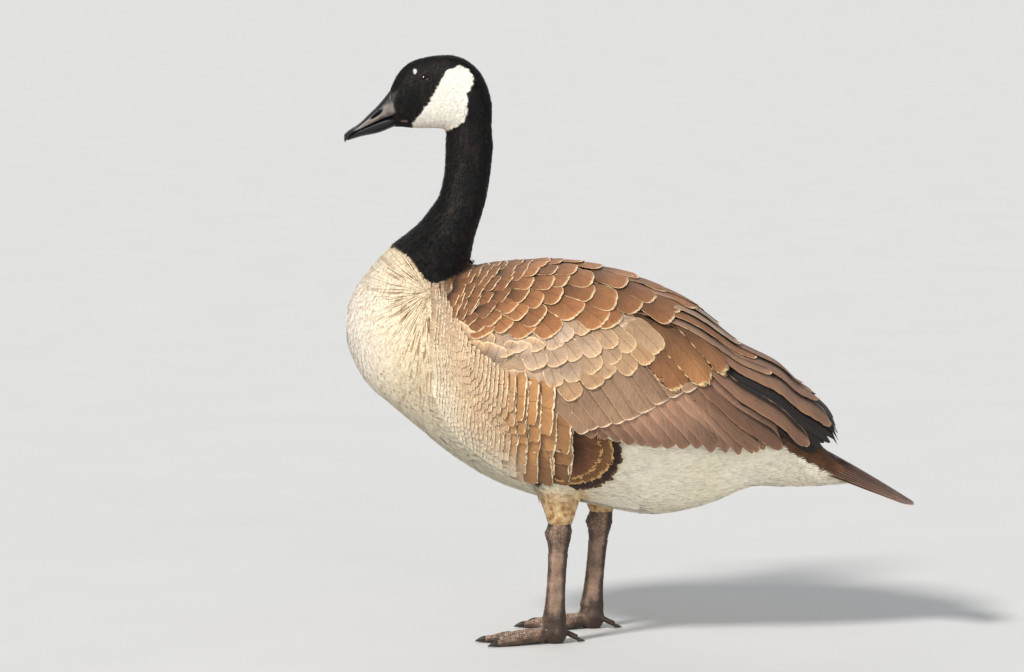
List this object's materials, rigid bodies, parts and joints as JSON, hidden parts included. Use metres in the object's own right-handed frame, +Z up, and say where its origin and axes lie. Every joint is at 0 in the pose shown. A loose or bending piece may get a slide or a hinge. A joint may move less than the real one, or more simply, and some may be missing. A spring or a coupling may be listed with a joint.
{
  "type": "canada goose",
  "caption": "Life-size Canada goose standing still on both webbed feet, head up, wings folded over the back; a rigid display model.",
  "frame": {"origin": "on the floor, under the middle of the bounding box", "axes": "+Z up, the goose faces -Y, and its left side is +X"},
  "size_m": [0.2286, 0.5702, 0.5835],
  "materials": {
    "black_feather": "short dense black feathers with a faint brown sheen",
    "white_feather": "soft white to cream feathers",
    "breast_feather": "pale buff feathers barred with brown",
    "wing_feather": "brown vanes with pale buff edges",
    "tail_feather": "blackish brown vanes",
    "bill": "black horn, satin",
    "eye": "dark brown iris under a clear wet cornea",
    "leg_skin": "dark scaly skin, satin",
    "claw": "dark horn"
  },
  "bodies": {
    "root": {"head": "black_feather", "cheek_patch": "white_feather", "neck_upper": "black_feather", "neck_lower": "black_feather", "torso": "breast_feather", "rump": "white_feather", "tail": "tail_feather", "wing_left": "wing_feather", "wing_right": "wing_feather", "thigh_left": "breast_feather", "thigh_right": "breast_feather", "bill_upper": "bill", "bill_lower": "bill", "eye_left": "eye", "eye_right": "eye", "shank_left": "leg_skin", "shank_right": "leg_skin", "foot_left": "leg_skin", "foot_right": "leg_skin", "claw_left_inner": "claw", "claw_left_middle": "claw", "claw_left_outer": "claw", "claw_left_hind": "claw", "claw_right_inner": "claw", "claw_right_middle": "claw", "claw_right_outer": "claw", "claw_right_hind": "claw"}
  },
  "joints": []
}
